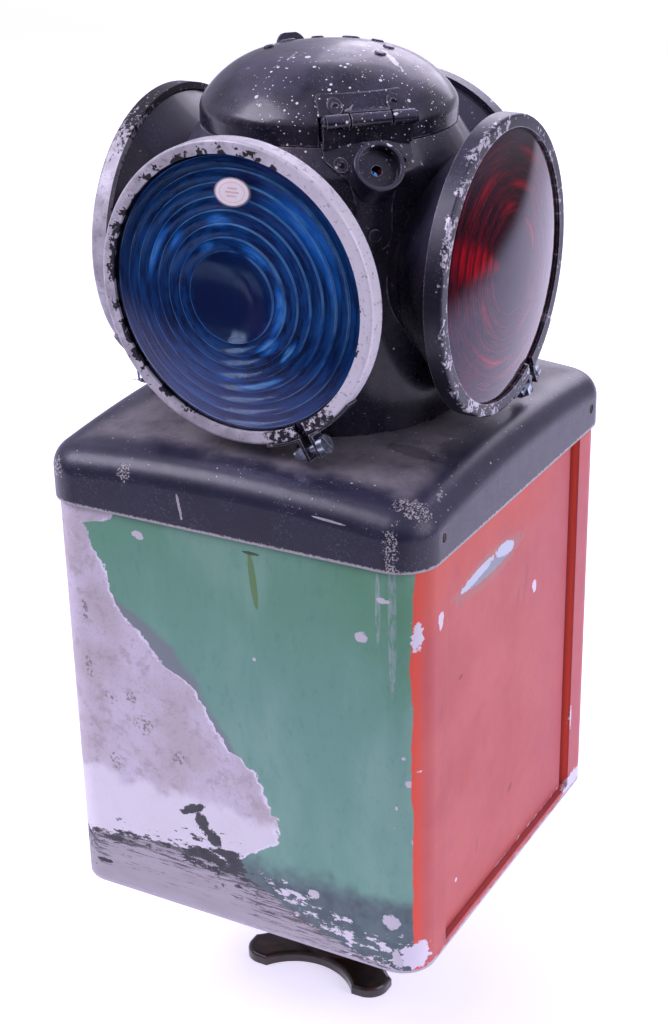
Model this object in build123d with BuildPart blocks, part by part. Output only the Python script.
from build123d import *
from math import asin, atan2, cos, degrees, radians, sin, sqrt, tan
import os

os.makedirs("parts", exist_ok=True)

# Four-way electric signal lamp on a painted battery case with a cast foot.
# Millimetres, +Z up, front lens towards -Y, battery door on +X.
# The origin is the centre of the foot's underside, on the lamp's axis.

# ---- driving dimensions ----
SHEET = 1.5                 # gauge of the case, lid and lamp body
THIN_SHEET = 1.2            # gauge of the door, hoods and dome
FIT = 0.05                  # slip between pieces that are fixed together
RUNNING = 0.06              # radial play of a shaft in its bearing

FOOT_HEIGHT = 80.0          # floor to the underside of the case
CASE_WIDTH = 200.0          # along X
CASE_DEPTH = 217.0          # along Y
CASE_CORNER = 16.7
CASE_TOP = 313.0            # under the lid's rounded edge
LID_EDGE = 295.8            # lower edge of the lid's skirt
LID_OVERHANG = 2.15
LID_CORNER = 19.2
LID_EDGE_RADIUS = 12.8
LID_PEAK = 333.5            # height the crowned top would reach on the axis
LID_CROWN_RADIUS = 853.0
SEAT = 331.0                # flat ring on the lid that carries the lamp body

BODY_BASE_RADIUS = 63.7
BODY_WIDE_RADIUS = 68.3
BODY_WIDE_Z = 454.0
NECK_LEDGE_RADIUS = 60.6
NECK_LEDGE_Z = 466.2
NECK_RADIUS = 53.5
NECK_TOP = 473.5

DOME_RADIUS = 60.4
DOME_SKIRT_Z = 466.7
DOME_SHOULDER_Z = 473.0
DOME_SHOULDER_RADIUS = 9.0
DOME_SHOULDER_RISE = 34.0   # how far the surface has turned from upright where the shoulder meets the flank
DOME_FLANK_RADIUS = 47.5
DOME_FLANK_RISE = 77.7      # and where the flank meets the crown

LENS_Z = 405.3              # height of all four lens axes
LENS_FRONT = 91.5           # bezel's front face, from the lamp's axis
GLASS_VIEW_RADIUS = 63.6
GLASS_RADIUS = 67.4
BEZEL_RADIUS = 69.8
SLEEVE_RADIUS = 42.0
SIDES = {"front": 0.0, "right": 90.0, "rear": 180.0, "left": 270.0}

HINGE_AZIMUTH = 45.0        # dome hinge, between the front and right lenses
LATCH_AZIMUTH = 225.0       # dome latch, opposite the hinge


def finish(piece, name):
    """Label a finished sub-part and write it to its own STEP file."""
    piece.part.label = name
    export_step(piece.part, f"parts/{name}.step")


def outward(azimuth):
    """Horizontal unit vector at an azimuth: 0 is the front (-Y), 90 is +X."""
    return Vector(sin(radians(azimuth)), -cos(radians(azimuth)), 0)


def sideways(azimuth):
    """Horizontal unit vector to the right of someone facing that azimuth."""
    return Vector(cos(radians(azimuth)), sin(radians(azimuth)), 0)


def upright_section(azimuth):
    """Plane through the lamp's axis: local x is outward, local y is up."""
    return Plane(origin=(0, 0, 0), x_dir=outward(azimuth), z_dir=-sideways(azimuth))


def facing(azimuth, reach):
    """Plane square to an azimuth: local x is sideways, local y is up, z is outward."""
    return Plane(origin=outward(azimuth) * reach, x_dir=sideways(azimuth), z_dir=outward(azimuth))


def lens_section(azimuth):
    """Plane through a lens axis: local x is the radius, local y is outward."""
    return Plane(origin=(0, 0, LENS_Z), x_dir=sideways(azimuth), z_dir=(0, 0, -1))


def lens_axis(azimuth):
    return Axis(origin=(0, 0, LENS_Z), direction=outward(azimuth))


def body_radius(z):
    """Outside radius of the lamp body's tapered wall."""
    slope = (BODY_WIDE_RADIUS - BODY_BASE_RADIUS) / (BODY_WIDE_Z - SEAT)
    return BODY_BASE_RADIUS + (z - SEAT) * slope


# ---- cast foot ----
FOOT_HALF = 43.0            # half of the plate across its lobes
LOBE_RADIUS = 11.0
FOOT_WAIST = 29.0           # half of the plate across its hollow sides
PLATE_THICKNESS = 6.0
NECK_COLUMN_RADIUS = 22.0
FLANGE_RADIUS = 48.0
FLANGE_THICKNESS = 6.0
SPINDLE_RADIUS = 14.5       # socket for the stand's spindle
SPINDLE_DEPTH = 62.0
FOOT_BOLT_CIRCLE = 37.0
FOOT_BOLT_RADIUS = 4.0
SET_SCREW_Z = 36.0
SET_SCREW_RADIUS = 5.0
SET_BOSS_RADIUS = 10.0
SET_BOSS_REACH = 29.0

lobe_centre = FOOT_HALF - LOBE_RADIUS
# hollow side: a circle tangent to both lobes that just reaches the waist
hollow_offset = FOOT_WAIST - lobe_centre
hollow_radius = (lobe_centre**2 + hollow_offset**2 - LOBE_RADIUS**2) / (2 * (LOBE_RADIUS - hollow_offset))

with BuildPart() as foot_casting:
    with BuildSketch() as lobed_outline:
        RectangleRounded(2 * FOOT_HALF, 2 * FOOT_HALF, LOBE_RADIUS - 0.01)
        with PolarLocations(FOOT_WAIST + hollow_radius, 4):
            Circle(hollow_radius, mode=Mode.SUBTRACT)
    extrude(amount=PLATE_THICKNESS)
    fillet(foot_casting.faces().sort_by(Axis.Z)[-1].edges(), 2.4)
    with BuildSketch(Plane.XZ) as column:
        with BuildLine():
            Polyline(
                (0, PLATE_THICKNESS - 1),
                (NECK_COLUMN_RADIUS + 6, PLATE_THICKNESS - 1),
                (NECK_COLUMN_RADIUS, PLATE_THICKNESS + 12),
                (NECK_COLUMN_RADIUS, FOOT_HEIGHT - FLANGE_THICKNESS),
                (FLANGE_RADIUS, FOOT_HEIGHT - FLANGE_THICKNESS),
                (FLANGE_RADIUS, FOOT_HEIGHT),
                (0, FOOT_HEIGHT),
                close=True,
            )
        make_face()
        inner_corner = column.vertices().sort_by_distance((NECK_COLUMN_RADIUS, FOOT_HEIGHT - FLANGE_THICKNESS))
        fillet(inner_corner[0], 5)
    revolve(axis=Axis.Z)
    with BuildSketch(Plane.YZ) as screw_boss:
        with Locations((0, SET_SCREW_Z)):
            Circle(SET_BOSS_RADIUS)
    extrude(amount=SET_BOSS_REACH)
    with BuildSketch() as spindle_socket:
        Circle(SPINDLE_RADIUS)
    extrude(amount=SPINDLE_DEPTH, mode=Mode.SUBTRACT)
    with BuildSketch(Plane.YZ) as set_screw_hole:
        with Locations((0, SET_SCREW_Z)):
            Circle(SET_SCREW_RADIUS + FIT)
    extrude(amount=SET_BOSS_REACH, mode=Mode.SUBTRACT)
    with BuildSketch(Plane.XY.offset(FOOT_HEIGHT - FLANGE_THICKNESS)):
        with PolarLocations(FOOT_BOLT_CIRCLE, 4, start_angle=45):
            Circle(FOOT_BOLT_RADIUS + FIT)
    extrude(amount=FLANGE_THICKNESS, mode=Mode.SUBTRACT)
finish(foot_casting, "foot_casting")

with BuildPart() as set_screw:
    with BuildSketch(Plane.YZ.offset(SPINDLE_RADIUS + 1)):
        with Locations((0, SET_SCREW_Z)):
            Circle(SET_SCREW_RADIUS)
    extrude(amount=SET_BOSS_REACH + 1 - SPINDLE_RADIUS)
    with BuildSketch(Plane.YZ.offset(SET_BOSS_REACH + 2)):
        with Locations((0, SET_SCREW_Z)):
            Rectangle(11, 11)
    extrude(amount=8)
    chamfer(set_screw.faces().sort_by(Axis.X)[-1].edges(), 1)
finish(set_screw, "spindle_set_screw")

BOLT_WASHER_RADIUS = 8.5
BOLT_WASHER_THICKNESS = 1.6
BOLT_HEAD_HEIGHT = 5.3
bolt_seat = FOOT_HEIGHT + SHEET

with BuildPart() as foot_washers:
    with BuildSketch(Plane.XY.offset(bolt_seat)):
        with PolarLocations(FOOT_BOLT_CIRCLE, 4, start_angle=45):
            Circle(BOLT_WASHER_RADIUS)
            Circle(FOOT_BOLT_RADIUS + 2 * FIT, mode=Mode.SUBTRACT)
    extrude(amount=BOLT_WASHER_THICKNESS)
finish(foot_washers, "foot_washers")

with BuildPart() as foot_bolts:
    with BuildSketch(Plane.XY.offset(bolt_seat + BOLT_WASHER_THICKNESS)):
        with PolarLocations(FOOT_BOLT_CIRCLE, 4, start_angle=45):
            RegularPolygon(7.5, 6)
    extrude(amount=BOLT_HEAD_HEIGHT)
    chamfer(foot_bolts.faces().filter_by(Axis.Z).group_by(Axis.Z)[-1].edges(), 0.6)
    with BuildSketch(Plane.XY.offset(FOOT_HEIGHT - 15)):
        with PolarLocations(FOOT_BOLT_CIRCLE, 4, start_angle=45):
            Circle(FOOT_BOLT_RADIUS)
    extrude(amount=15 + SHEET + BOLT_WASHER_THICKNESS)
finish(foot_bolts, "foot_bolts")

with BuildPart() as foot_nuts:
    with BuildSketch(Plane.XY.offset(FOOT_HEIGHT - FLANGE_THICKNESS - 6.5)):
        with PolarLocations(FOOT_BOLT_CIRCLE, 4, start_angle=45):
            RegularPolygon(7.5, 6)
            Circle(FOOT_BOLT_RADIUS + FIT, mode=Mode.SUBTRACT)
    extrude(amount=6.5)
finish(foot_nuts, "foot_nuts")

# ---- battery case ----
DOOR_OPENING_HALF = 79.0    # along Y
DOOR_SILL = 84.7
DOOR_HEAD = 295.6
FRAME_BACK = 84.0           # X of the door frame's rear face
SCREW_Y = 87.7              # lid screws, either side of the door
SCREW_Z = 307.2
LID_SCREW_RADIUS = 2.4
PAN_RIM = 12.0
case_half = CASE_WIDTH / 2
opening_height = DOOR_HEAD - DOOR_SILL
opening_middle = (DOOR_HEAD + DOOR_SILL) / 2

with BuildPart() as case_bottom:
    with BuildSketch(Plane.XY.offset(FOOT_HEIGHT)):
        RectangleRounded(CASE_WIDTH - 2 * (SHEET + FIT), CASE_DEPTH - 2 * (SHEET + FIT), CASE_CORNER - SHEET)
    extrude(amount=PAN_RIM)
    with BuildSketch(Plane.XY.offset(FOOT_HEIGHT + SHEET)):
        RectangleRounded(CASE_WIDTH - 4 * SHEET, CASE_DEPTH - 4 * SHEET, CASE_CORNER - 2 * SHEET)
    extrude(amount=PAN_RIM, mode=Mode.SUBTRACT)
    with BuildSketch(Plane.XY.offset(FOOT_HEIGHT)):
        with PolarLocations(FOOT_BOLT_CIRCLE, 4, start_angle=45):
            Circle(FOOT_BOLT_RADIUS + FIT)
    extrude(amount=SHEET, mode=Mode.SUBTRACT)
    # the rim steps down where the door frame's sill passes over it
    with BuildSketch(Plane.YZ.offset(FRAME_BACK - 2)):
        with Locations((0, DOOR_SILL + 5)):
            Rectangle(2 * (DOOR_OPENING_HALF + SHEET + 0.5), 14)
    extrude(amount=20, mode=Mode.SUBTRACT)
finish(case_bottom, "case_bottom")

with BuildPart() as case_shell:
    with BuildSketch(Plane.XY.offset(FOOT_HEIGHT)):
        RectangleRounded(CASE_WIDTH, CASE_DEPTH, CASE_CORNER)
        RectangleRounded(CASE_WIDTH - 2 * SHEET, CASE_DEPTH - 2 * SHEET, CASE_CORNER - SHEET, mode=Mode.SUBTRACT)
    extrude(amount=CASE_TOP - FOOT_HEIGHT)
    with BuildSketch(Plane.XY.offset(CASE_TOP - SHEET)):
        RectangleRounded(CASE_WIDTH - SHEET, CASE_DEPTH - SHEET, CASE_CORNER)
        RectangleRounded(CASE_WIDTH - 26, CASE_DEPTH - 26, CASE_CORNER, mode=Mode.SUBTRACT)
    extrude(amount=SHEET)
    with BuildSketch(Plane.YZ.offset(case_half - 5)):
        with Locations((0, opening_middle)):
            Rectangle(2 * DOOR_OPENING_HALF, opening_height)
    extrude(amount=10, mode=Mode.SUBTRACT)
    with BuildSketch(Plane.YZ.offset(-case_half - 1)):
        with Locations((-SCREW_Y, SCREW_Z), (SCREW_Y, SCREW_Z)):
            Circle(LID_SCREW_RADIUS + FIT)
    extrude(amount=CASE_WIDTH + 2, mode=Mode.SUBTRACT)
finish(case_shell, "case_shell")

# ---- battery door: a pan with one edge rolled round a hinge rod ----
DOOR_RECESS = 3.0
ROLL_RADIUS = 5.0
ROD_RADIUS = 3.73
ROD_Y = -73.2
DOOR_FREE_Y = 74.5
DOOR_BOTTOM = 85.4
DOOR_TOP = 295.0
door_face = case_half - DOOR_RECESS
ROD_X = door_face - ROLL_RADIUS
door_back = door_face - 2 * ROLL_RADIUS
door_middle = (DOOR_BOTTOM + DOOR_TOP) / 2
door_height = DOOR_TOP - DOOR_BOTTOM

with BuildPart() as door_frame:
    with BuildSketch(Plane.YZ.offset(FRAME_BACK)):
        with Locations((0, opening_middle)):
            Rectangle(2 * (DOOR_OPENING_HALF + SHEET), opening_height + 2 * SHEET)
    extrude(amount=case_half - SHEET - FIT - FRAME_BACK)
    with BuildSketch(Plane.YZ.offset(FRAME_BACK + SHEET)):
        with Locations((0, opening_middle)):
            Rectangle(2 * DOOR_OPENING_HALF, opening_height)
    extrude(amount=CASE_WIDTH, mode=Mode.SUBTRACT)
    with BuildSketch(Plane.YZ.offset(FRAME_BACK)):
        with Locations((0, opening_middle)):
            Rectangle(2 * (DOOR_OPENING_HALF - 10), opening_height - 16)
    extrude(amount=SHEET, mode=Mode.SUBTRACT)
    with BuildSketch(Plane.XY.offset(DOOR_SILL - 2 * SHEET)):
        with Locations((ROD_X, ROD_Y)):
            Circle(ROD_RADIUS + FIT)
    extrude(amount=opening_height + 4 * SHEET, mode=Mode.SUBTRACT)
finish(door_frame, "door_frame")

with BuildPart() as door_seal:
    with BuildSketch(Plane.YZ.offset(FRAME_BACK + SHEET)):
        with Locations((0, opening_middle)):
            Rectangle(2 * (DOOR_OPENING_HALF - 0.5), opening_height - 1)
            Rectangle(2 * (DOOR_OPENING_HALF - 9), opening_height - 15, mode=Mode.SUBTRACT)
    extrude(amount=door_back - FRAME_BACK - SHEET - 0.4)
finish(door_seal, "door_seal")

with BuildPart() as door_panel:
    with BuildSketch(Plane.XY.offset(DOOR_BOTTOM)):
        with Locations((ROD_X, ROD_Y)):
            Circle(ROLL_RADIUS)
        with Locations((door_face - THIN_SHEET / 2, (DOOR_FREE_Y + ROD_Y) / 2)):
            Rectangle(THIN_SHEET, DOOR_FREE_Y - ROD_Y)
        with Locations(((door_face + door_back) / 2, DOOR_FREE_Y - THIN_SHEET / 2)):
            Rectangle(2 * ROLL_RADIUS, THIN_SHEET)
    extrude(amount=door_height)
    with BuildSketch(Plane.XY.offset(DOOR_BOTTOM)):
        with Locations(((door_face + door_back) / 2, (DOOR_FREE_Y + ROD_Y) / 2)):
            Rectangle(2 * ROLL_RADIUS, DOOR_FREE_Y - ROD_Y)
    extrude(amount=THIN_SHEET)
    mirror(about=Plane.XY.offset(door_middle))
    with BuildSketch(Plane.XY.offset(DOOR_BOTTOM)):
        with Locations((ROD_X, ROD_Y)):
            Circle(ROD_RADIUS + RUNNING)
    extrude(amount=door_height, mode=Mode.SUBTRACT)
    free_edges = door_panel.edges().filter_by(Axis.Z).group_by(Axis.Y)[-1]
    fillet(free_edges.sort_by(Axis.X)[-1], 1)
finish(door_panel, "door_panel")

with BuildPart() as door_hinge_rod:
    with BuildSketch(Plane.XY.offset(DOOR_SILL - SHEET)):
        with Locations((ROD_X, ROD_Y)):
            Circle(ROD_RADIUS)
    extrude(amount=opening_height + 2 * SHEET)
    with BuildSketch(Plane.XY.offset(DOOR_HEAD + SHEET)):
        with Locations((ROD_X, ROD_Y)):
            Circle(ROD_RADIUS + 2)
    extrude(amount=2)
finish(door_hinge_rod, "door_hinge_rod")

# the catch's tongue and clip are arcs about the hinge rod, so they slide apart
TONGUE_OUTER = 141.6
TONGUE_INNER = 140.2
TONGUE_WIDTH = 16.0
TONGUE_TIP_X = 70.0
CLIP_GAUGE = 0.8
CLIP_PLAY = 0.4
tongue_back = door_face - THIN_SHEET
tongue_start = -degrees(asin((tongue_back - 0.2 - ROD_X) / TONGUE_OUTER))
tongue_end = degrees(asin((ROD_X - TONGUE_TIP_X) / TONGUE_OUTER))
clip_start = degrees(asin((ROD_X - FRAME_BACK + CLIP_GAUGE / 2) / TONGUE_OUTER))
clip_end = tongue_end + 0.8
clip_outer = TONGUE_OUTER + CLIP_PLAY
clip_inner = TONGUE_INNER - CLIP_PLAY


def catch_arc(inner, outer, start_angle, end_angle):
    """Ring sector about the hinge rod, measured from +Y towards -X."""
    first = 90 + start_angle
    arc_size = end_angle - start_angle
    with BuildLine(mode=Mode.PRIVATE) as outline:
        outer_arc = CenterArc((ROD_X, ROD_Y), outer, first, arc_size)
        inner_arc = CenterArc((ROD_X, ROD_Y), inner, first, arc_size)
        Line(outer_arc @ 0, inner_arc @ 0)
        Line(outer_arc @ 1, inner_arc @ 1)
    return make_face(outline.edges(), mode=Mode.PRIVATE)


with BuildPart() as catch_tongue:
    with BuildSketch(Plane.XY.offset(opening_middle - TONGUE_WIDTH / 2)):
        add(catch_arc(TONGUE_INNER, TONGUE_OUTER, tongue_start, tongue_end))
        # foot that lies on the back of the door's panel
        with Locations((tongue_back - 0.75, ROD_Y + TONGUE_INNER - 4)):
            Rectangle(1.5, 10)
    extrude(amount=TONGUE_WIDTH)
finish(catch_tongue, "door_catch_tongue")

with BuildPart() as catch_clip:
    with BuildSketch(Plane.XY.offset(opening_middle - TONGUE_WIDTH / 2 - 1)):
        add(catch_arc(clip_outer, clip_outer + CLIP_GAUGE, clip_start, clip_end))
        add(catch_arc(clip_inner - CLIP_GAUGE, clip_inner, clip_start, clip_end))
        add(catch_arc(clip_inner - CLIP_GAUGE, clip_outer + CLIP_GAUGE, clip_end - 0.4, clip_end))
    extrude(amount=TONGUE_WIDTH + 2)
    # foot of the clip, lying on the back of the door frame
    with BuildSketch(Plane.YZ.offset(FRAME_BACK - CLIP_GAUGE)):
        with Locations((DOOR_OPENING_HALF - 5.4, opening_middle)):
            Rectangle(9.2, TONGUE_WIDTH + 2)
    extrude(amount=CLIP_GAUGE)
finish(catch_clip, "door_catch_clip")


# ---- lid ----
def pressed_lid(inset):
    """Solid of the pressed lid's outside, shrunk by inset for its hollow."""
    half_width = CASE_WIDTH / 2 + LID_OVERHANG - inset
    half_depth = CASE_DEPTH / 2 + LID_OVERHANG - inset
    crown_radius = LID_CROWN_RADIUS - inset
    peak = LID_PEAK - inset
    rim = 150.0
    with BuildPart() as pressing:
        with BuildSketch(Plane.XY.offset(LID_EDGE)):
            RectangleRounded(2 * half_width, 2 * half_depth, LID_CORNER - inset)
        extrude(amount=LID_PEAK - LID_EDGE + 5)
        with BuildSketch(Plane.XZ) as crown:
            with BuildLine():
                drop = crown_radius - sqrt(crown_radius**2 - rim**2)
                Line((0, LID_EDGE - 1), (0, peak))
                RadiusArc((0, peak), (rim, peak - drop), crown_radius)
                Polyline((rim, peak - drop), (rim, LID_EDGE - 1), (0, LID_EDGE - 1))
            make_face()
        revolve(axis=Axis.Z, mode=Mode.INTERSECT)
        fillet(pressing.faces().sort_by(Axis.Z)[-1].edges(), LID_EDGE_RADIUS - inset)
        with BuildSketch(Plane.XY.offset(SEAT - inset)):
            Circle(rim)
        extrude(amount=20, mode=Mode.SUBTRACT)
    return pressing.part


LID_HOLE_RADIUS = 46.0
BODY_SCREW_CIRCLE = 56.5
BODY_SCREW_RADIUS = 2.0
lid_face = case_half + LID_OVERHANG
lid_outside = pressed_lid(0)
lid_hollow = pressed_lid(SHEET)

with BuildPart() as lid_pan:
    add(lid_outside)
    add(lid_hollow, mode=Mode.SUBTRACT)
    with BuildSketch(Plane.XY.offset(SEAT - 5)):
        Circle(LID_HOLE_RADIUS)
        with PolarLocations(BODY_SCREW_CIRCLE, 6, start_angle=30):
            Circle(BODY_SCREW_RADIUS + FIT)
    extrude(amount=10, mode=Mode.SUBTRACT)
    # raised rings round the four screws that hold the skirt to the case
    for side in (-1, 1):
        with BuildSketch(Plane.YZ.offset(side * (lid_face - 0.4))):
            with Locations((-SCREW_Y, SCREW_Z), (SCREW_Y, SCREW_Z)):
                Circle(5.6)
                Circle(4.2, mode=Mode.SUBTRACT)
        extrude(amount=side * 0.4)
    with BuildSketch(Plane.YZ.offset(-lid_face - 1)):
        with Locations((-SCREW_Y, SCREW_Z), (SCREW_Y, SCREW_Z)):
            Circle(LID_SCREW_RADIUS + FIT)
    extrude(amount=CASE_WIDTH + 10, mode=Mode.SUBTRACT)
finish(lid_pan, "lid_pan")

with BuildPart() as lid_screws:
    for side in (-1, 1):
        with BuildSketch(Plane.YZ.offset(side * (case_half - 8))):
            with Locations((-SCREW_Y, SCREW_Z), (SCREW_Y, SCREW_Z)):
                Circle(LID_SCREW_RADIUS)
        extrude(amount=side * (8 + LID_OVERHANG - 0.3))
    for side in (-1, 1):
        with BuildSketch(Plane.YZ.offset(side * (lid_face - 0.3))):
            with Locations((-SCREW_Y, SCREW_Z), (SCREW_Y, SCREW_Z)):
                Rectangle(0.9, 5.5)
        extrude(amount=-side * 0.7, mode=Mode.SUBTRACT)
finish(lid_screws, "lid_screws")

with BuildPart() as lid_nuts:
    for side in (-1, 1):
        with BuildSketch(Plane.YZ.offset(side * (case_half - SHEET - 3.2))):
            with Locations((-SCREW_Y, SCREW_Z), (SCREW_Y, SCREW_Z)):
                Rectangle(8, 8)
                Circle(LID_SCREW_RADIUS + FIT, mode=Mode.SUBTRACT)
        extrude(amount=side * 3.2)
finish(lid_nuts, "lid_nuts")

# ---- lens units ----
HOOD_REAR = 50.0            # distances along the lens axis, from the lamp's axis
CONE_START = 56.0
CONE_END = 84.0
CONE_END_RADIUS = 66.5
RIM_RADIUS = 67.6
SEAT_INNER_RADIUS = 62.5
rim_front = CONE_END + THIN_SHEET
cone_slope = (CONE_END_RADIUS - SLEEVE_RADIUS) / (CONE_END - CONE_START)
cone_wall = THIN_SHEET * sqrt(1 + cone_slope**2)
sleeve_inner = SLEEVE_RADIUS - THIN_SHEET
inner_cone_start = CONE_START + (cone_wall - THIN_SHEET) / cone_slope

GASKET_THICKNESS = 1.2
GLASS_EDGE = 3.5
glass_rear = rim_front + GASKET_THICKNESS
glass_front = glass_rear + GLASS_EDGE
GLASS_BULGE = 7.0
glass_crown = (GLASS_VIEW_RADIUS**2 + GLASS_BULGE**2) / (2 * GLASS_BULGE)
GLASS_WALL = 4.6
PRISM_DEPTH = 2.2
BULLSEYE_RADIUS = 21.0
PRISM_COUNT = 7
prism_outer = SEAT_INNER_RADIUS - 0.5
prism_pitch = (prism_outer - BULLSEYE_RADIUS) / PRISM_COUNT

CLAMP_ANGLE = 29.0          # clamp gap, from straight down towards the right
LUG_GAP = 5.0
LUG_THICKNESS = 1.6
LUG_TIP = 81.5
LUG_WIDTH = 7.5
CLAMP_BOLT_REACH = 77.0
CLAMP_BOLT_RADIUS = 2.4
bezel_rear = CONE_END - 1.2
bezel_inner = RIM_RADIUS + 0.4
lug_middle = (bezel_rear + LENS_FRONT) / 2


def glass_surface(radius):
    """Distance of the glass's convex outer face from the lamp's axis."""
    return glass_front + GLASS_BULGE - glass_crown + sqrt(glass_crown**2 - radius**2)


def clamp_plane(azimuth, along):
    """Plane across a lens axis: local y runs out through the clamp gap."""
    down = CLAMP_ANGLE
    across = sideways(azimuth) * cos(radians(down)) + Vector(0, 0, sin(radians(down)))
    place = outward(azimuth) * along + Vector(0, 0, LENS_Z)
    return Plane(origin=place, x_dir=across, z_dir=-outward(azimuth))


def bolt_plane(azimuth, shift):
    """Plane square to a clamp bolt, shifted along the bolt."""
    base = clamp_plane(azimuth, lug_middle)
    place = base.origin + base.y_dir * CLAMP_BOLT_REACH + base.x_dir * shift
    return Plane(origin=place, x_dir=base.y_dir, z_dir=base.x_dir)


def hood_fill(azimuth, slip):
    """Solid that fills a hood, used to open the lamp body's wall for it."""
    with BuildPart() as fill:
        with BuildSketch(lens_section(azimuth)):
            with BuildLine():
                Polyline(
                    (0, HOOD_REAR - 8),
                    (SLEEVE_RADIUS + slip, HOOD_REAR - 8),
                    (SLEEVE_RADIUS + slip, CONE_START),
                    (CONE_END_RADIUS + slip, CONE_END),
                    (0, CONE_END),
                    close=True,
                )
            make_face()
        revolve(axis=lens_axis(azimuth))
    return fill.part


for side, azimuth in SIDES.items():
    with BuildPart() as hood:
        with BuildSketch(lens_section(azimuth)):
            with BuildLine():
                Polyline(
                    (SLEEVE_RADIUS, HOOD_REAR),
                    (SLEEVE_RADIUS, CONE_START),
                    (CONE_END_RADIUS, CONE_END),
                    (RIM_RADIUS, CONE_END),
                    (RIM_RADIUS, rim_front),
                    (SEAT_INNER_RADIUS, rim_front),
                    (SEAT_INNER_RADIUS, CONE_END),
                    (CONE_END_RADIUS - cone_wall, CONE_END),
                    (sleeve_inner, inner_cone_start),
                    (sleeve_inner, HOOD_REAR),
                    close=True,
                )
            make_face()
        revolve(axis=lens_axis(azimuth))
    finish(hood, f"lens_hood_{side}")

    with BuildPart() as lens:
        with BuildSketch(lens_section(azimuth)):
            with BuildLine():
                front_face = RadiusArc(
                    (0, glass_front + GLASS_BULGE), (GLASS_VIEW_RADIUS, glass_front), glass_crown
                )
                inner_points = [
                    (GLASS_RADIUS, glass_front),
                    (GLASS_RADIUS, glass_rear),
                    (prism_outer, glass_rear),
                ]
                # each prism ring is thin at its outer edge and thick at its inner edge
                for ring in range(PRISM_COUNT):
                    outer = prism_outer - ring * prism_pitch
                    inner = outer - prism_pitch
                    if ring > 0:
                        inner_points.append((outer, glass_surface(outer) - GLASS_WALL))
                    inner_points.append((inner, glass_surface(inner) - GLASS_WALL - PRISM_DEPTH))
                eye_edge = (BULLSEYE_RADIUS, glass_surface(BULLSEYE_RADIUS) - GLASS_WALL)
                eye_back = (0, glass_surface(0) - GLASS_WALL - 2 * PRISM_DEPTH)
                inner_points.append(eye_edge)
                Polyline(front_face @ 1, *inner_points)
                eye_rise = eye_edge[1] - eye_back[1]
                eye_radius = (BULLSEYE_RADIUS**2 + eye_rise**2) / (2 * eye_rise)
                RadiusArc(eye_edge, eye_back, eye_radius)
                Line(eye_back, front_face @ 0)
            make_face()
        revolve(axis=lens_axis(azimuth))
    finish(lens, f"lens_{side}")

    with BuildPart() as bezel:
        with BuildSketch(lens_section(azimuth)) as bezel_section:
            with BuildLine():
                Polyline(
                    (bezel_inner, LENS_FRONT - SHEET),
                    (GLASS_VIEW_RADIUS, LENS_FRONT - SHEET),
                    (GLASS_VIEW_RADIUS, LENS_FRONT),
                    (BEZEL_RADIUS, LENS_FRONT),
                    (BEZEL_RADIUS, bezel_rear),
                    (CONE_END_RADIUS - 0.1, bezel_rear),
                    (CONE_END_RADIUS - 0.1, bezel_rear + 0.9),
                    (bezel_inner, bezel_rear + 0.9),
                    close=True,
                )
            make_face()
            outer_corners = bezel_section.vertices().sort_by_distance((BEZEL_RADIUS, LENS_FRONT))
            fillet(outer_corners[0], 1.4)
        revolve(axis=lens_axis(azimuth))
        with BuildSketch(clamp_plane(azimuth, LENS_FRONT + 1)):
            with Locations((0, BEZEL_RADIUS)):
                Rectangle(LUG_GAP, 2 * (BEZEL_RADIUS - GLASS_VIEW_RADIUS) + 4)
        extrude(amount=LENS_FRONT - bezel_rear + 2, mode=Mode.SUBTRACT)
    finish(bezel, f"bezel_{side}")

with BuildPart() as lens_gaskets:
    for azimuth in SIDES.values():
        with BuildSketch(lens_section(azimuth)):
            with Locations(((SEAT_INNER_RADIUS + GLASS_RADIUS) / 2, rim_front + GASKET_THICKNESS / 2)):
                Rectangle(GLASS_RADIUS - SEAT_INNER_RADIUS, GASKET_THICKNESS)
        revolve(axis=lens_axis(azimuth))
finish(lens_gaskets, "lens_gaskets")

# each clamp lug is a short strap soldered round the bezel, turned out at the gap
LUG_SWEEPS = {-1: 15.0, 1: 22.5}
lug_inner = BEZEL_RADIUS + FIT
lug_outer = lug_inner + 1.2
lug_start = degrees(asin(LUG_GAP / 2 / lug_inner))

with BuildPart() as clamp_lugs:
    for azimuth in SIDES.values():
        for hand, arc_size in LUG_SWEEPS.items():
            with BuildSketch(clamp_plane(azimuth, lug_middle + LUG_WIDTH / 2)):
                with BuildLine():
                    first = 90 - hand * lug_start
                    outer_arc = CenterArc((0, 0), lug_outer, first, -hand * arc_size)
                    inner_arc = CenterArc((0, 0), lug_inner, first, -hand * arc_size)
                    Line(outer_arc @ 0, inner_arc @ 0)
                    Line(outer_arc @ 1, inner_arc @ 1)
                make_face()
                with Locations((hand * (LUG_GAP + LUG_THICKNESS) / 2, (lug_inner + LUG_TIP) / 2 + 0.1)):
                    Rectangle(LUG_THICKNESS, LUG_TIP - lug_inner - 0.2)
            extrude(amount=LUG_WIDTH)
            with BuildSketch(bolt_plane(azimuth, hand * LUG_GAP / 2)):
                Circle(CLAMP_BOLT_RADIUS + 0.3)
            extrude(amount=hand * LUG_THICKNESS, mode=Mode.SUBTRACT)
finish(clamp_lugs, "clamp_lugs")

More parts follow.
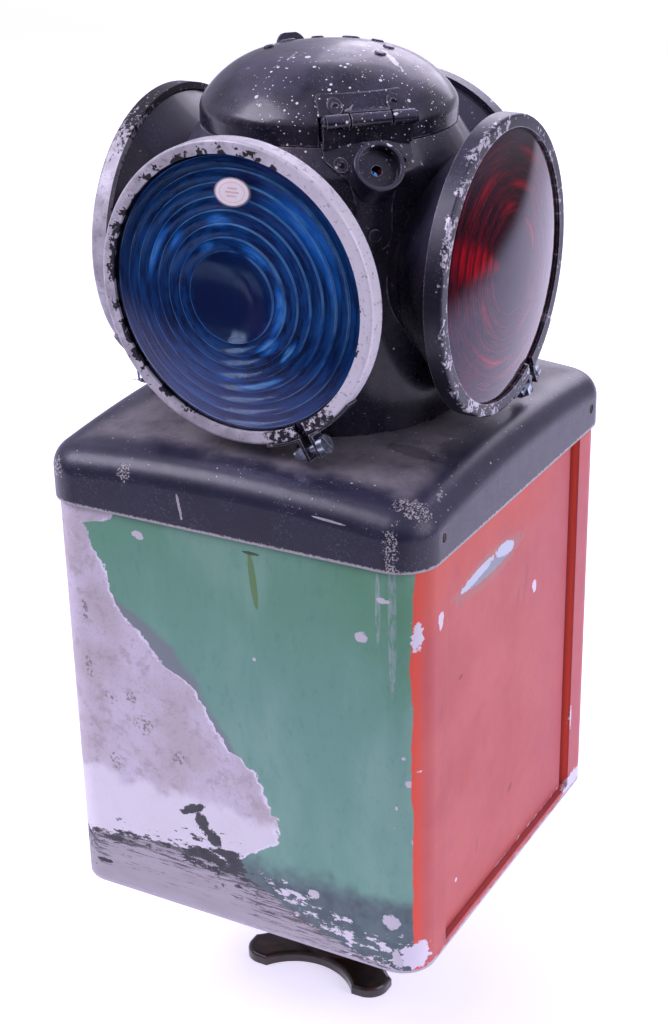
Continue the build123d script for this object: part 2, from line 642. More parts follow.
bolt_head_seat = LUG_GAP / 2 + LUG_THICKNESS
with BuildPart() as clamp_bolts:
    for azimuth in SIDES.values():
        with BuildSketch(bolt_plane(azimuth, -bolt_head_seat - 6.5)):
            Circle(CLAMP_BOLT_RADIUS)
        extrude(amount=2 * bolt_head_seat + 6.5)
        with BuildSketch(bolt_plane(azimuth, bolt_head_seat)):
            Circle(4.6)
        extrude(amount=3.2)
        with BuildSketch(bolt_plane(azimuth, bolt_head_seat + 3.2)):
            Rectangle(10, 1.1, rotation=25)
        extrude(amount=-1.2, mode=Mode.SUBTRACT)
finish(clamp_bolts, "clamp_bolts")

with BuildPart() as clamp_nuts:
    for azimuth in SIDES.values():
        with BuildSketch(bolt_plane(azimuth, -bolt_head_seat)):
            RegularPolygon(4.6, 6)
            Circle(CLAMP_BOLT_RADIUS + FIT, mode=Mode.SUBTRACT)
        extrude(amount=-4)
finish(clamp_nuts, "clamp_nuts")

# ---- lamp body ----
BODY_FLANGE_INNER = 50.0


def body_outside(grow, floor_z):
    """Solid inside the lamp body's outer skin, grown outwards, above a height."""
    with BuildPart() as skin:
        with BuildSketch(Plane.XZ) as outline:
            with BuildLine():
                Polyline(
                    (0, floor_z),
                    (body_radius(floor_z) + grow, floor_z),
                    (BODY_WIDE_RADIUS + grow, BODY_WIDE_Z + grow / 3),
                    (NECK_LEDGE_RADIUS + grow / 3, NECK_LEDGE_Z + grow),
                    (0, NECK_LEDGE_Z + grow),
                    close=True,
                )
            make_face()
            widest = outline.vertices().sort_by_distance((BODY_WIDE_RADIUS + grow, BODY_WIDE_Z + grow / 3))
            fillet(widest[0], 7 + grow)
        revolve(axis=Axis.Z)
    return skin.part


vent_tilt = 34.0
VENT_LIP_REACH = 77.7
VENT_LIP_Z = 461.3
VENT_RADIUS = 11.5
VENT_BORE = 9.3
VENT_DEPTH = 6.0
VENT_HOLE = 2.4
vent_direction = outward(HINGE_AZIMUTH) * cos(radians(vent_tilt)) + Vector(0, 0, sin(radians(vent_tilt)))
vent_lip = Plane(
    origin=outward(HINGE_AZIMUTH) * VENT_LIP_REACH + Vector(0, 0, VENT_LIP_Z),
    x_dir=sideways(HINGE_AZIMUTH),
    z_dir=vent_direction,
)
STRAP_RIVETS = [(-14.0, 460.0), (14.0, 460.0), (0.0, 428.0)]
STRAP_RIVET_RADIUS = 1.6

body_skin = body_outside(0, SEAT)
body_core = body_outside(-SHEET, SEAT)
hood_fills = [hood_fill(azimuth, FIT) for azimuth in SIDES.values()]

with BuildPart() as lamp_body:
    add(body_skin)
    with BuildSketch(Plane.XY.offset(NECK_LEDGE_Z - SHEET)):
        Circle(NECK_RADIUS)
    extrude(amount=NECK_TOP - NECK_LEDGE_Z + SHEET)
    with BuildSketch(Plane.XY.offset(NECK_LEDGE_Z - 2 * SHEET)):
        Circle(NECK_RADIUS - SHEET)
    extrude(amount=20, mode=Mode.SUBTRACT)
    add(body_core, mode=Mode.SUBTRACT)
    with BuildSketch(Plane.XY.offset(SEAT)):
        Circle(BODY_BASE_RADIUS - 0.5)
        Circle(BODY_FLANGE_INNER, mode=Mode.SUBTRACT)
        with PolarLocations(BODY_SCREW_CIRCLE, 6, start_angle=30):
            Circle(BODY_SCREW_RADIUS + FIT, mode=Mode.SUBTRACT)
    extrude(amount=SHEET)
    for fill in hood_fills:
        add(fill, mode=Mode.SUBTRACT)
    with BuildSketch(vent_lip):
        Circle(VENT_HOLE)
    extrude(amount=-30, mode=Mode.SUBTRACT)
    with BuildSketch(facing(HINGE_AZIMUTH, 50)):
        with Locations(*STRAP_RIVETS):
            Circle(STRAP_RIVET_RADIUS + FIT)
    extrude(amount=30, mode=Mode.SUBTRACT)
finish(lamp_body, "lamp_body")

BRACKET_THICKNESS = 2.0
body_screw_seats = {30: 0.0, 90: BRACKET_THICKNESS, 150: 0.0, 210: 0.0, 270: BRACKET_THICKNESS, 330: 0.0}
with BuildPart() as body_screws:
    for angle, lift in body_screw_seats.items():
        head_z = SEAT + SHEET + lift
        place = Vector(cos(radians(angle)), sin(radians(angle)), 0) * BODY_SCREW_CIRCLE
        with BuildSketch(Plane.XY.offset(SEAT - 8).move(Location(place))):
            Circle(BODY_SCREW_RADIUS)
        extrude(amount=head_z - SEAT + 8)
        with BuildSketch(Plane.XY.offset(head_z).move(Location(place))):
            Circle(3.6)
        extrude(amount=2.4)
        with BuildSketch(Plane.XY.offset(head_z + 2.4).move(Location(place))):
            Rectangle(8, 0.9, rotation=angle)
        extrude(amount=-1, mode=Mode.SUBTRACT)
finish(body_screws, "body_screws")

with BuildPart() as body_nuts:
    with BuildSketch(Plane.XY.offset(SEAT - SHEET - 3)):
        with PolarLocations(BODY_SCREW_CIRCLE, 6, start_angle=30):
            RegularPolygon(4, 6)
            Circle(BODY_SCREW_RADIUS + FIT, mode=Mode.SUBTRACT)
    extrude(amount=3)
finish(body_nuts, "body_nuts")

# ---- dome hinge ----
HINGE_REACH = 64.0          # barrel's distance from the lamp's axis
HINGE_Z = 478.5
BARREL_RADIUS = 3.4
HINGE_PIN_RADIUS = 1.55
HINGE_HALF = 20.5
KNUCKLE_HALF = 9.7          # the dome's middle knuckle
KNUCKLE_GAP = 0.35
STRAP_GAUGE = 1.6
LEAF_FRONT = HINGE_REACH - BARREL_RADIUS
TONGUE_END_Z = 420.0
TONGUE_HALF = 8.4

strap_skin = body_outside(STRAP_GAUGE, TONGUE_END_Z - 5)
strap_bed = body_outside(FIT, TONGUE_END_Z - 10)

with BuildPart() as hinge_strap:
    # strap: a skin over the body's shoulder, trimmed to its tapering outline
    with BuildSketch(facing(HINGE_AZIMUTH, 40)) as strap_outline:
        with BuildLine():
            Polyline(
                (-TONGUE_HALF, TONGUE_END_Z + TONGUE_HALF),
                (-TONGUE_HALF, 441),
                (-10.6, 452),
                (-HINGE_HALF, 461.5),
                (-HINGE_HALF, NECK_LEDGE_Z + STRAP_GAUGE),
                (HINGE_HALF, NECK_LEDGE_Z + STRAP_GAUGE),
                (HINGE_HALF, 461.5),
                (10.6, 452),
                (TONGUE_HALF, 441),
                (TONGUE_HALF, TONGUE_END_Z + TONGUE_HALF),
            )
            ThreePointArc(
                (TONGUE_HALF, TONGUE_END_Z + TONGUE_HALF),
                (0, TONGUE_END_Z),
                (-TONGUE_HALF, TONGUE_END_Z + TONGUE_HALF),
            )
        make_face()
    extrude(amount=40)
    add(strap_skin, mode=Mode.INTERSECT)
    add(strap_bed, mode=Mode.SUBTRACT)
    with BuildSketch(Plane.XY.offset(NECK_LEDGE_Z)):
        Circle(NECK_RADIUS + 0.5)
    extrude(amount=10, mode=Mode.SUBTRACT)
    with BuildSketch(facing(HINGE_AZIMUTH, LEAF_FRONT - STRAP_GAUGE)):
        with BuildLine():
            Polyline(
                (-HINGE_HALF, NECK_LEDGE_Z + FIT),
                (-HINGE_HALF, HINGE_Z),
                (-KNUCKLE_HALF - KNUCKLE_GAP, HINGE_Z),
                (-KNUCKLE_HALF - KNUCKLE_GAP, HINGE_Z - BARREL_RADIUS - 0.6),
                (KNUCKLE_HALF + KNUCKLE_GAP, HINGE_Z - BARREL_RADIUS - 0.6),
                (KNUCKLE_HALF + KNUCKLE_GAP, HINGE_Z),
                (HINGE_HALF, HINGE_Z),
                (HINGE_HALF, NECK_LEDGE_Z + FIT),
                close=True,
            )
        make_face()
    extrude(amount=STRAP_GAUGE)
    for hand in (-1, 1):
        middle = hand * (HINGE_HALF + KNUCKLE_HALF + KNUCKLE_GAP) / 2
        length = HINGE_HALF - KNUCKLE_HALF - KNUCKLE_GAP
        with BuildSketch(upright_section(HINGE_AZIMUTH).offset(-middle - length / 2)):
            with Locations((HINGE_REACH, HINGE_Z)):
                Circle(BARREL_RADIUS)
            with Locations((HINGE_REACH - 1.5 - BARREL_RADIUS / 2, HINGE_Z - BARREL_RADIUS / 2)):
                Rectangle(3 + BARREL_RADIUS, BARREL_RADIUS)
        extrude(amount=length)
    with BuildSketch(upright_section(HINGE_AZIMUTH).offset(-HINGE_HALF)):
        with Locations((HINGE_REACH, HINGE_Z)):
            Circle(HINGE_PIN_RADIUS + RUNNING)
    extrude(amount=2 * HINGE_HALF, mode=Mode.SUBTRACT)
    with BuildSketch(vent_lip):
        Circle(VENT_HOLE)
    extrude(amount=-30, mode=Mode.SUBTRACT)
    with BuildSketch(facing(HINGE_AZIMUTH, 50)):
        with Locations(*STRAP_RIVETS):
            Circle(STRAP_RIVET_RADIUS + FIT)
    extrude(amount=30, mode=Mode.SUBTRACT)
finish(hinge_strap, "hinge_strap")

rivet_head = body_outside(STRAP_GAUGE + 1.0, TONGUE_END_Z - 5)
rivet_seat = body_outside(STRAP_GAUGE + FIT, TONGUE_END_Z - 10)
with BuildPart() as strap_rivets:
    with BuildSketch(facing(HINGE_AZIMUTH, 50)):
        with Locations(*STRAP_RIVETS):
            Circle(STRAP_RIVET_RADIUS + 1.4)
    extrude(amount=30)
    add(rivet_head, mode=Mode.INTERSECT)
    add(rivet_seat, mode=Mode.SUBTRACT)
    with BuildSketch(facing(HINGE_AZIMUTH, 55)):
        with Locations(*STRAP_RIVETS):
            Circle(STRAP_RIVET_RADIUS)
    extrude(amount=12)
finish(strap_rivets, "strap_rivets")

with BuildPart() as vent_cup:
    with BuildSketch(vent_lip):
        Circle(VENT_RADIUS)
    extrude(amount=-24)
    add(rivet_seat, mode=Mode.SUBTRACT)
    with BuildSketch(vent_lip):
        Circle(VENT_BORE)
    extrude(amount=-VENT_DEPTH, mode=Mode.SUBTRACT)
    with BuildSketch(vent_lip):
        Circle(VENT_HOLE)
    extrude(amount=-24, mode=Mode.SUBTRACT)
    fillet(vent_cup.faces().sort_by(Axis(vent_lip.origin, vent_direction))[-1].edges(), 0.7)
finish(vent_cup, "vent_cup")

# ---- dome ----
# three arcs, each tangent to the next: shoulder, flank and crown
shoulder_centre = (DOME_RADIUS - DOME_SHOULDER_RADIUS, DOME_SHOULDER_Z)
flank_shift = DOME_FLANK_RADIUS - DOME_SHOULDER_RADIUS
flank_centre = (
    shoulder_centre[0] - flank_shift * cos(radians(DOME_SHOULDER_RISE)),
    shoulder_centre[1] - flank_shift * sin(radians(DOME_SHOULDER_RISE)),
)
crown_shift = flank_centre[0] / cos(radians(DOME_FLANK_RISE))
DOME_CROWN_RADIUS = DOME_FLANK_RADIUS + crown_shift
crown_centre = (0.0, flank_centre[1] - crown_shift * sin(radians(DOME_FLANK_RISE)))
DOME_TOP = crown_centre[1] + DOME_CROWN_RADIUS


def dome_skin(grow, floor_z):
    """Solid inside the dome's outer skin, grown outwards, above a height."""

    def on_arc(centre, radius, rise):
        turn = radians(rise)
        return (centre[0] + (radius + grow) * cos(turn), centre[1] + (radius + grow) * sin(turn))

    shoulder_start = (DOME_RADIUS + grow, DOME_SHOULDER_Z)
    shoulder_middle = on_arc(shoulder_centre, DOME_SHOULDER_RADIUS, DOME_SHOULDER_RISE / 2)
    flank_start = on_arc(flank_centre, DOME_FLANK_RADIUS, DOME_SHOULDER_RISE)
    flank_middle = on_arc(flank_centre, DOME_FLANK_RADIUS, (DOME_SHOULDER_RISE + DOME_FLANK_RISE) / 2)
    crown_start = on_arc(crown_centre, DOME_CROWN_RADIUS, DOME_FLANK_RISE)
    crown_middle = on_arc(crown_centre, DOME_CROWN_RADIUS, (DOME_FLANK_RISE + 90) / 2)
    top = (0, DOME_TOP + grow)
    with BuildPart() as skin:
        with BuildSketch(Plane.XZ):
            with BuildLine():
                Polyline(top, (0, floor_z), (DOME_RADIUS + grow, floor_z), shoulder_start)
                ThreePointArc(shoulder_start, shoulder_middle, flank_start)
                ThreePointArc(flank_start, flank_middle, crown_start)
                ThreePointArc(crown_start, crown_middle, top)
            make_face()
        revolve(axis=Axis.Z)
    return skin.part


LEAF_GAUGE = 1.4
LEAF_TOP_Z = 488.0
LEAF_RIVETS = [(-13.4, 483.6), (13.4, 483.6)]
LEAF_RIVET_RADIUS = 1.6
LATCH_RIVETS = [(-5.0, 485.0), (5.0, 485.0)]
NOTCH_HALF = HINGE_HALF + 0.7
NOTCH_TOP = HINGE_Z + 0.3

dome_outside = dome_skin(0, DOME_SKIRT_Z)
dome_hollow = dome_skin(-THIN_SHEET, DOME_SKIRT_Z - 5)
dome_bed = dome_skin(FIT, DOME_SKIRT_Z - 5)
leaf_skin = dome_skin(LEAF_GAUGE, DOME_SKIRT_Z)
leaf_head_skin = dome_skin(LEAF_GAUGE + 0.8, DOME_SKIRT_Z)
leaf_seat_skin = dome_skin(LEAF_GAUGE + FIT, DOME_SKIRT_Z - 5)

with BuildPart() as dome_cap:
    add(dome_outside)
    add(dome_hollow, mode=Mode.SUBTRACT)
    with BuildSketch(facing(HINGE_AZIMUTH, 40)):
        with Locations((0, (NOTCH_TOP + DOME_SKIRT_Z) / 2 - 2)):
            Rectangle(2 * NOTCH_HALF, NOTCH_TOP - DOME_SKIRT_Z + 4)
    extrude(amount=30, mode=Mode.SUBTRACT)
    with BuildSketch(facing(HINGE_AZIMUTH, 40)):
        with Locations(*LEAF_RIVETS):
            Circle(LEAF_RIVET_RADIUS + FIT)
    extrude(amount=30, mode=Mode.SUBTRACT)
    with BuildSketch(facing(LATCH_AZIMUTH, 40)):
        with Locations(*LATCH_RIVETS):
            Circle(LEAF_RIVET_RADIUS + FIT)
    extrude(amount=30, mode=Mode.SUBTRACT)
finish(dome_cap, "dome_cap")

with BuildPart() as dome_leaf:
    with BuildSketch(facing(HINGE_AZIMUTH, 40)) as leaf_outline:
        with Locations((0, (HINGE_Z + LEAF_TOP_Z) / 2 + 0.5)):
            Rectangle(2 * HINGE_HALF, LEAF_TOP_Z - HINGE_Z - 1)
        fillet(leaf_outline.vertices().group_by(Axis.Y)[-1], 3)
    extrude(amount=30)
    add(leaf_skin, mode=Mode.INTERSECT)
    add(dome_bed, mode=Mode.SUBTRACT)
    with BuildSketch(upright_section(HINGE_AZIMUTH).offset(-KNUCKLE_HALF)):
        with Locations((HINGE_REACH, HINGE_Z)):
            Circle(BARREL_RADIUS)
        with Locations((HINGE_REACH - 1.5 - BARREL_RADIUS / 2, HINGE_Z + 0.6 + BARREL_RADIUS / 2)):
            Rectangle(3 + BARREL_RADIUS, BARREL_RADIUS - 0.4)
    extrude(amount=2 * KNUCKLE_HALF)
    add(dome_bed, mode=Mode.SUBTRACT)
    with BuildSketch(upright_section(HINGE_AZIMUTH).offset(-HINGE_HALF)):
        with Locations((HINGE_REACH, HINGE_Z)):
            Circle(HINGE_PIN_RADIUS + RUNNING)
    extrude(amount=2 * HINGE_HALF, mode=Mode.SUBTRACT)
    # the leaf stays clear of the strap's outer knuckles
    for hand in (-1, 1):
        middle = hand * (HINGE_HALF + KNUCKLE_HALF) / 2
        length = HINGE_HALF - KNUCKLE_HALF + 1
        with BuildSketch(upright_section(HINGE_AZIMUTH).offset(-middle - length / 2)):
            with Locations((HINGE_REACH, HINGE_Z)):
                Circle(BARREL_RADIUS + 0.5)
        extrude(amount=length, mode=Mode.SUBTRACT)
    with BuildSketch(facing(HINGE_AZIMUTH, 40)):
        with Locations(*LEAF_RIVETS):
            Circle(LEAF_RIVET_RADIUS + FIT)
    extrude(amount=30, mode=Mode.SUBTRACT)
finish(dome_leaf, "dome_leaf")

with BuildPart() as leaf_rivets:
    with BuildSketch(facing(HINGE_AZIMUTH, 40)):
        with Locations(*LEAF_RIVETS):
            Circle(LEAF_RIVET_RADIUS + 1.7)
    extrude(amount=30)
    add(leaf_head_skin, mode=Mode.INTERSECT)
    add(leaf_seat_skin, mode=Mode.SUBTRACT)
    with BuildSketch(facing(HINGE_AZIMUTH, 50)):
        with Locations(*LEAF_RIVETS):
            Circle(LEAF_RIVET_RADIUS)
    extrude(amount=6)
finish(leaf_rivets, "leaf_rivets")

with BuildPart() as hinge_pin:
    with BuildSketch(upright_section(HINGE_AZIMUTH).offset(-HINGE_HALF - 0.4)):
        with Locations((HINGE_REACH, HINGE_Z)):
            Circle(HINGE_PIN_RADIUS)
    extrude(amount=2 * HINGE_HALF + 0.8)
    for hand in (-1, 1):
        with BuildSketch(upright_section(HINGE_AZIMUTH).offset(hand * (HINGE_HALF + 0.2))):
            with Locations((HINGE_REACH, HINGE_Z)):
                Circle(HINGE_PIN_RADIUS + 1)
        extrude(amount=hand * 1.0)
finish(hinge_pin, "dome_hinge_pin")

# ---- dome latch ----
LATCH_REACH = 64.5
LATCH_Z = 478.0
LATCH_PIN_RADIUS = 1.25
LEVER_HALF = 7.6
CHEEK_HALF = 8.2            # inner faces of the bracket's cheeks
CHEEK_GAUGE = 1.4
LEVER_GAUGE = 1.8

with BuildPart() as latch_bracket:
    with BuildSketch(facing(LATCH_AZIMUTH, 40)) as bracket_outline:
        with Locations((0, 480)):
            Rectangle(2 * (CHEEK_HALF + CHEEK_GAUGE), 18)
        fillet(bracket_outline.vertices().group_by(Axis.Y)[-1], 3)
    extrude(amount=30)
    add(leaf_skin, mode=Mode.INTERSECT)
    for hand in (-1, 1):
        with BuildSketch(upright_section(LATCH_AZIMUTH).offset(hand * (CHEEK_HALF + CHEEK_GAUGE / 2) - CHEEK_GAUGE / 2)):
            with BuildLine():
                Polyline((50, 473), (LATCH_REACH, 475.2), (LATCH_REACH, 480.8), (50, 484), close=True)
            make_face()
            with Locations((LATCH_REACH, LATCH_Z)):
                Circle(2.8)
        extrude(amount=CHEEK_GAUGE)
    add(dome_bed, mode=Mode.SUBTRACT)
    with BuildSketch(upright_section(LATCH_AZIMUTH).offset(-15)):
        with Locations((LATCH_REACH, LATCH_Z)):
            Circle(LATCH_PIN_RADIUS + FIT)
    extrude(amount=30, mode=Mode.SUBTRACT)
    with BuildSketch(facing(LATCH_AZIMUTH, 40)):
        with Locations(*LATCH_RIVETS):
            Circle(LEAF_RIVET_RADIUS + FIT)
    extrude(amount=30, mode=Mode.SUBTRACT)
finish(latch_bracket, "latch_bracket")

with BuildPart() as latch_rivets:
    with BuildSketch(facing(LATCH_AZIMUTH, 40)):
        with Locations(*LATCH_RIVETS):
            Circle(LEAF_RIVET_RADIUS + 1.2)
    extrude(amount=30)
    add(leaf_head_skin, mode=Mode.INTERSECT)
    add(leaf_seat_skin, mode=Mode.SUBTRACT)
    with BuildSketch(facing(LATCH_AZIMUTH, 50)):
        with Locations(*LATCH_RIVETS):
            Circle(LEAF_RIVET_RADIUS)
    extrude(amount=5)
finish(latch_rivets, "latch_rivets")

with BuildPart() as latch_pin:
    with BuildSketch(upright_section(LATCH_AZIMUTH).offset(-CHEEK_HALF - CHEEK_GAUGE - 0.6)):
        with Locations((LATCH_REACH, LATCH_Z)):
            Circle(LATCH_PIN_RADIUS)
    extrude(amount=2 * (CHEEK_HALF + CHEEK_GAUGE + 0.6))
finish(latch_pin, "latch_pin")

with BuildPart() as latch_lever:
    with BuildSketch(upright_section(LATCH_AZIMUTH).offset(-LEVER_HALF)) as lever_outline:
        with BuildLine():
            Polyline(
                (LATCH_REACH - 0.9, LATCH_Z),
                (LATCH_REACH - 0.9, 488.0),
                (LATCH_REACH + 1.9, 494.6),
                (LATCH_REACH + 3.7, 493.8),
                (LATCH_REACH + 0.9, 487.6),
                (LATCH_REACH + 0.9, 476.0),
                (LATCH_REACH + 4.6, 470.0),
                (LATCH_REACH + 4.6, 462.0),
                (LATCH_REACH + 2.8, 462.0),
                (LATCH_REACH + 2.8, 469.4),
                (LATCH_REACH - 0.9, 475.4),
                close=True,
            )
        make_face()
        with Locations((LATCH_REACH, LATCH_Z)):
            Circle(2.6)
            Circle(LATCH_PIN_RADIUS + RUNNING, mode=Mode.SUBTRACT)
    extrude(amount=2 * LEVER_HALF)
    # the thumb end is round
    with BuildSketch(facing(LATCH_AZIMUTH, 50)) as lever_front:
        with Locations((0, 477)):
            Rectangle(2 * LEVER_HALF, 36)
        fillet(lever_front.vertices().group_by(Axis.Y)[-1], LEVER_HALF - 0.4)
    extrude(amount=30, mode=Mode.INTERSECT)
finish(latch_lever, "latch_lever")

with BuildPart() as latch_keeper:
    with BuildSketch(upright_section(LATCH_AZIMUTH).offset(-4)):
        with BuildLine():
            Polyline((61.4, 455), (61.4, 467.9), (65.6, 467.9), (66.6, 466.6), (66.6, 455), close=True)
        make_face()
    extrude(amount=8)
    add(body_outside(FIT, 440), mode=Mode.SUBTRACT)
finish(latch_keeper, "latch_keeper")

# ---- bulb and its bracket ----
POST_RADIUS = 5.0
SOCKET_BASE_Z = 366.0
SOCKET_TOP_Z = 386.0
SOCKET_RADIUS = 13.0
CAP_RADIUS = 8.0
BULB_RADIUS = 14.5
BULB_CENTRE_Z = 408.0
GLASS_SKIN = 0.9
STEM_JOIN_Z = 392.0
bracket_z = SEAT + SHEET

with BuildPart() as lamp_bracket:
    with BuildSketch(Plane.XY.offset(bracket_z)):
        SlotCenterToCenter(2 * BODY_SCREW_CIRCLE, 10, rotation=90)
        with PolarLocations(BODY_SCREW_CIRCLE, 2, start_angle=90):
            Circle(BODY_SCREW_RADIUS + FIT, mode=Mode.SUBTRACT)
    extrude(amount=BRACKET_THICKNESS)
    with BuildSketch(Plane.XY.offset(bracket_z)):
        Circle(POST_RADIUS)
    extrude(amount=SOCKET_BASE_Z - bracket_z)
finish(lamp_bracket, "lamp_bracket")

with BuildPart() as bulb_socket:
    with BuildSketch(Plane.XY.offset(SOCKET_BASE_Z)):
        Circle(SOCKET_RADIUS)
    extrude(amount=SOCKET_TOP_Z - SOCKET_BASE_Z)
    with BuildSketch(Plane.XY.offset(SOCKET_BASE_Z)):
        Rectangle(2 * SOCKET_RADIUS + 10, 10)
    extrude(amount=5)
    fillet(bulb_socket.faces().sort_by(Axis.Z)[-1].edges(), 1.5)
    with BuildSketch(Plane.XY.offset(SOCKET_BASE_Z + 5)):
        Circle(CAP_RADIUS + 0.4)
    extrude(amount=30, mode=Mode.SUBTRACT)
finish(bulb_socket, "bulb_socket")

TERMINAL_X = 15.5
with BuildPart() as socket_terminals:
    with BuildSketch(Plane.XY.offset(SOCKET_BASE_Z + 5)):
        with Locations((-TERMINAL_X, 0), (TERMINAL_X, 0)):
            Circle(2.2)
    extrude(amount=2)
    with BuildSketch(Plane.XY.offset(SOCKET_BASE_Z - 2.5)):
        with Locations((-TERMINAL_X, 0), (TERMINAL_X, 0)):
            Circle(2.2)
    extrude(amount=2.5)
finish(socket_terminals, "socket_terminals")

with BuildPart() as bulb_cap:
    with BuildSketch(Plane.XY.offset(SOCKET_BASE_Z + 6)):
        Circle(CAP_RADIUS)
    extrude(amount=STEM_JOIN_Z - SOCKET_BASE_Z - 6)
    with BuildSketch(Plane.XY.offset(STEM_JOIN_Z - 2)):
        Circle(CAP_RADIUS - GLASS_SKIN)
    extrude(amount=2, mode=Mode.SUBTRACT)
    fillet(bulb_cap.faces().sort_by(Axis.Z)[0].edges(), 1.5)
finish(bulb_cap, "bulb_cap")

neck_half = CAP_RADIUS - 0.3
neck_meet = BULB_CENTRE_Z - sqrt(BULB_RADIUS**2 - neck_half**2)
inner_ball = BULB_RADIUS - GLASS_SKIN
inner_neck = neck_half - GLASS_SKIN
inner_meet = BULB_CENTRE_Z - sqrt(inner_ball**2 - inner_neck**2)
with BuildPart() as bulb_glass:
    with BuildSketch(Plane.XZ):
        with BuildLine():
            Polyline((inner_neck, STEM_JOIN_Z), (neck_half, STEM_JOIN_Z), (neck_half, neck_meet))
            ThreePointArc(
                (neck_half, neck_meet), (BULB_RADIUS, BULB_CENTRE_Z), (0, BULB_CENTRE_Z + BULB_RADIUS)
            )
            Line((0, BULB_CENTRE_Z + BULB_RADIUS), (0, BULB_CENTRE_Z + inner_ball))
            ThreePointArc(
                (0, BULB_CENTRE_Z + inner_ball), (inner_ball, BULB_CENTRE_Z), (inner_neck, inner_meet)
            )
            Line((inner_neck, inner_meet), (inner_neck, STEM_JOIN_Z))
        make_face()
    revolve(axis=Axis.Z)
finish(bulb_glass, "bulb_glass")

with BuildPart() as filament:
    with BuildSketch(Plane.XY.offset(STEM_JOIN_Z - 2)):
        Circle(3)
    extrude(amount=8)
    with BuildSketch(Plane.XY.offset(STEM_JOIN_Z + 5)):
        with Locations((-2, 0), (2, 0)):
            Circle(0.4)
    extrude(amount=LENS_Z - STEM_JOIN_Z - 5)
    with BuildSketch(Plane.YZ.offset(-3)):
        with Locations((0, LENS_Z)):
            Circle(0.6)
    extrude(amount=6)
finish(filament, "filament")

# ---- battery ----
BOARD_THICKNESS = 12.0
BATTERY_WIDTH = 128.0
BATTERY_DEPTH = 150.0
BATTERY_HEIGHT = 150.0
POST_X = 36.0
board_top = bolt_seat + BOARD_THICKNESS
battery_top = board_top + BATTERY_HEIGHT

with BuildPart() as battery_board:
    with BuildSketch(Plane.XY.offset(bolt_seat)):
        Rectangle(150, 196)
        with PolarLocations(FOOT_BOLT_CIRCLE, 4, start_angle=45):
            Circle(BOLT_WASHER_RADIUS + 2, mode=Mode.SUBTRACT)
    extrude(amount=BOARD_THICKNESS)
finish(battery_board, "battery_board")

with BuildPart() as battery:
    with BuildSketch(Plane.XY.offset(board_top)):
        RectangleRounded(BATTERY_WIDTH - 4, BATTERY_DEPTH - 4, 6)
    extrude(amount=BATTERY_HEIGHT - 22)
    with BuildSketch(Plane.XY.offset(battery_top - 22)):
        RectangleRounded(BATTERY_WIDTH, BATTERY_DEPTH, 8)
    extrude(amount=22)
    fillet(battery.faces().sort_by(Axis.Z)[-1].edges(), 3)
finish(battery, "battery")

KNOB_TOP = battery_top + 14
with BuildPart() as battery_knobs:
    with BuildSketch(Plane.XY.offset(battery_top)):
        with Locations((-POST_X, 0), (POST_X, 0)):
            Circle(2.5)
    extrude(amount=KNOB_TOP - battery_top)
    with BuildSketch(Plane.XY.offset(battery_top + 1)) as knob_outline:
        with Locations((-POST_X, 0), (POST_X, 0)):
            Circle(7)
            with PolarLocations(7.2, 16):
                Circle(0.6, mode=Mode.SUBTRACT)
    extrude(amount=8)
finish(battery_knobs, "battery_knobs")

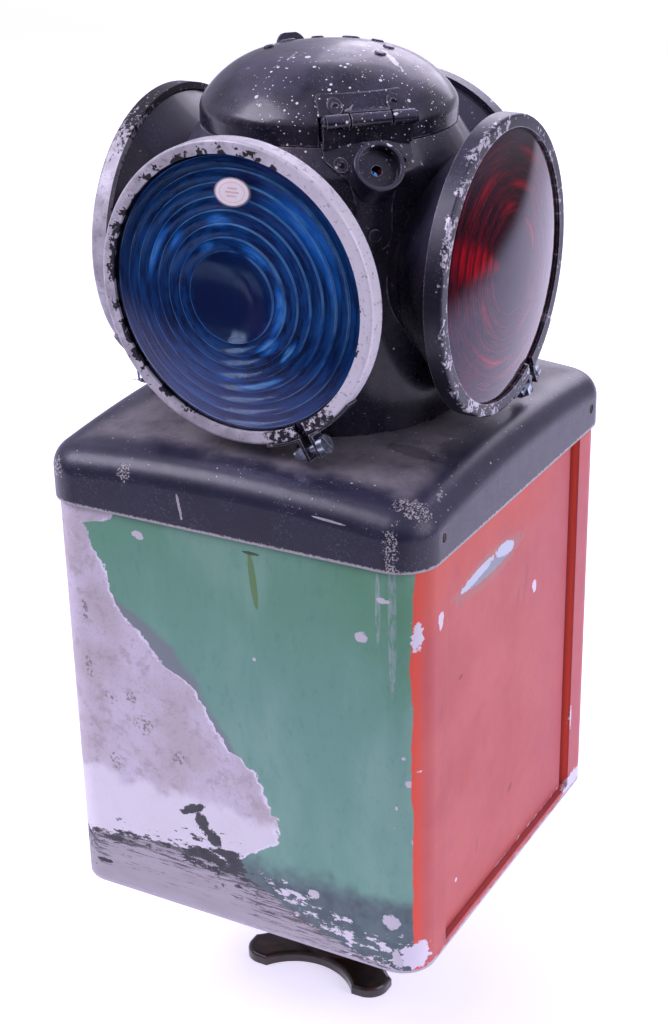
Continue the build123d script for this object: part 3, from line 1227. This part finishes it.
STRAP_WIDTH = 20.0
STRAP_FOOT = 13.0
strap_leg_y = BATTERY_DEPTH / 2 + 0.3
with BuildPart() as battery_strap:
    with BuildSketch(Plane.YZ.offset(-STRAP_WIDTH / 2)):
        with BuildLine():
            Polyline(
                (-strap_leg_y - STRAP_FOOT, board_top),
                (-strap_leg_y, board_top),
                (-strap_leg_y, battery_top + 0.2),
                (strap_leg_y, battery_top + 0.2),
                (strap_leg_y, board_top),
                (strap_leg_y + STRAP_FOOT, board_top),
                (strap_leg_y + STRAP_FOOT, board_top + SHEET),
                (strap_leg_y + SHEET, board_top + SHEET),
                (strap_leg_y + SHEET, battery_top + 0.2 + SHEET),
                (-strap_leg_y - SHEET, battery_top + 0.2 + SHEET),
                (-strap_leg_y - SHEET, board_top + SHEET),
                (-strap_leg_y - STRAP_FOOT, board_top + SHEET),
                close=True,
            )
        make_face()
    extrude(amount=STRAP_WIDTH)
finish(battery_strap, "battery_strap")

with BuildPart() as strap_screws:
    with BuildSketch(Plane.XY.offset(board_top + SHEET)):
        for end in (-1, 1):
            with Locations((-5, end * (strap_leg_y + 8)), (5, end * (strap_leg_y + 8))):
                Circle(3)
    extrude(amount=2)
    fillet(strap_screws.faces().filter_by(Axis.Z).group_by(Axis.Z)[-1].edges(), 1.2)
finish(strap_screws, "strap_screws")

# ---- leads from the battery's knobs up to the bulb socket ----
LEAD_RADIUS = 1.3
lead_bottom = KNOB_TOP
lead_top = SOCKET_BASE_Z - 2.5
LEAD_ROUTES = {
    "lead_positive": [
        (POST_X, 0, lead_bottom),
        (POST_X, 0, lead_bottom + 18),
        (POST_X - 3, 3, lead_bottom + 40),
        (POST_X - 11, 5, lead_bottom + 64),
        (TERMINAL_X, 0, lead_bottom + 88),
        (TERMINAL_X, 0, lead_top),
    ],
    "lead_negative": [
        (-POST_X, 0, lead_bottom),
        (-POST_X, 0, lead_bottom + 20),
        (-POST_X + 2, -4, lead_bottom + 43),
        (-POST_X + 11, -5, lead_bottom + 66),
        (-TERMINAL_X, 0, lead_bottom + 90),
        (-TERMINAL_X, 0, lead_top),
    ],
}


def bend_radii(route):
    """Arc radius at each corner: as large as its two runs allow."""
    radii = []
    for before, corner, after in zip(route, route[1:], route[2:]):
        arriving = Vector(*corner) - Vector(*before)
        leaving = Vector(*after) - Vector(*corner)
        half_turn = radians(arriving.get_angle(leaving)) / 2
        radii.append(0.45 * min(arriving.length, leaving.length) / tan(half_turn))
    return radii


for name, route in LEAD_ROUTES.items():
    radii = bend_radii(route)
    print(name, "bend radii", [round(radius) for radius in radii])
    with BuildPart() as lead:
        with BuildLine() as lead_path:
            FilletPolyline(*route, radius=radii)
        start_direction = Vector(*route[1]) - Vector(*route[0])
        with BuildSketch(Plane(origin=route[0], z_dir=start_direction)):
            Circle(LEAD_RADIUS)
        sweep(path=lead_path.line)
    finish(lead, name)
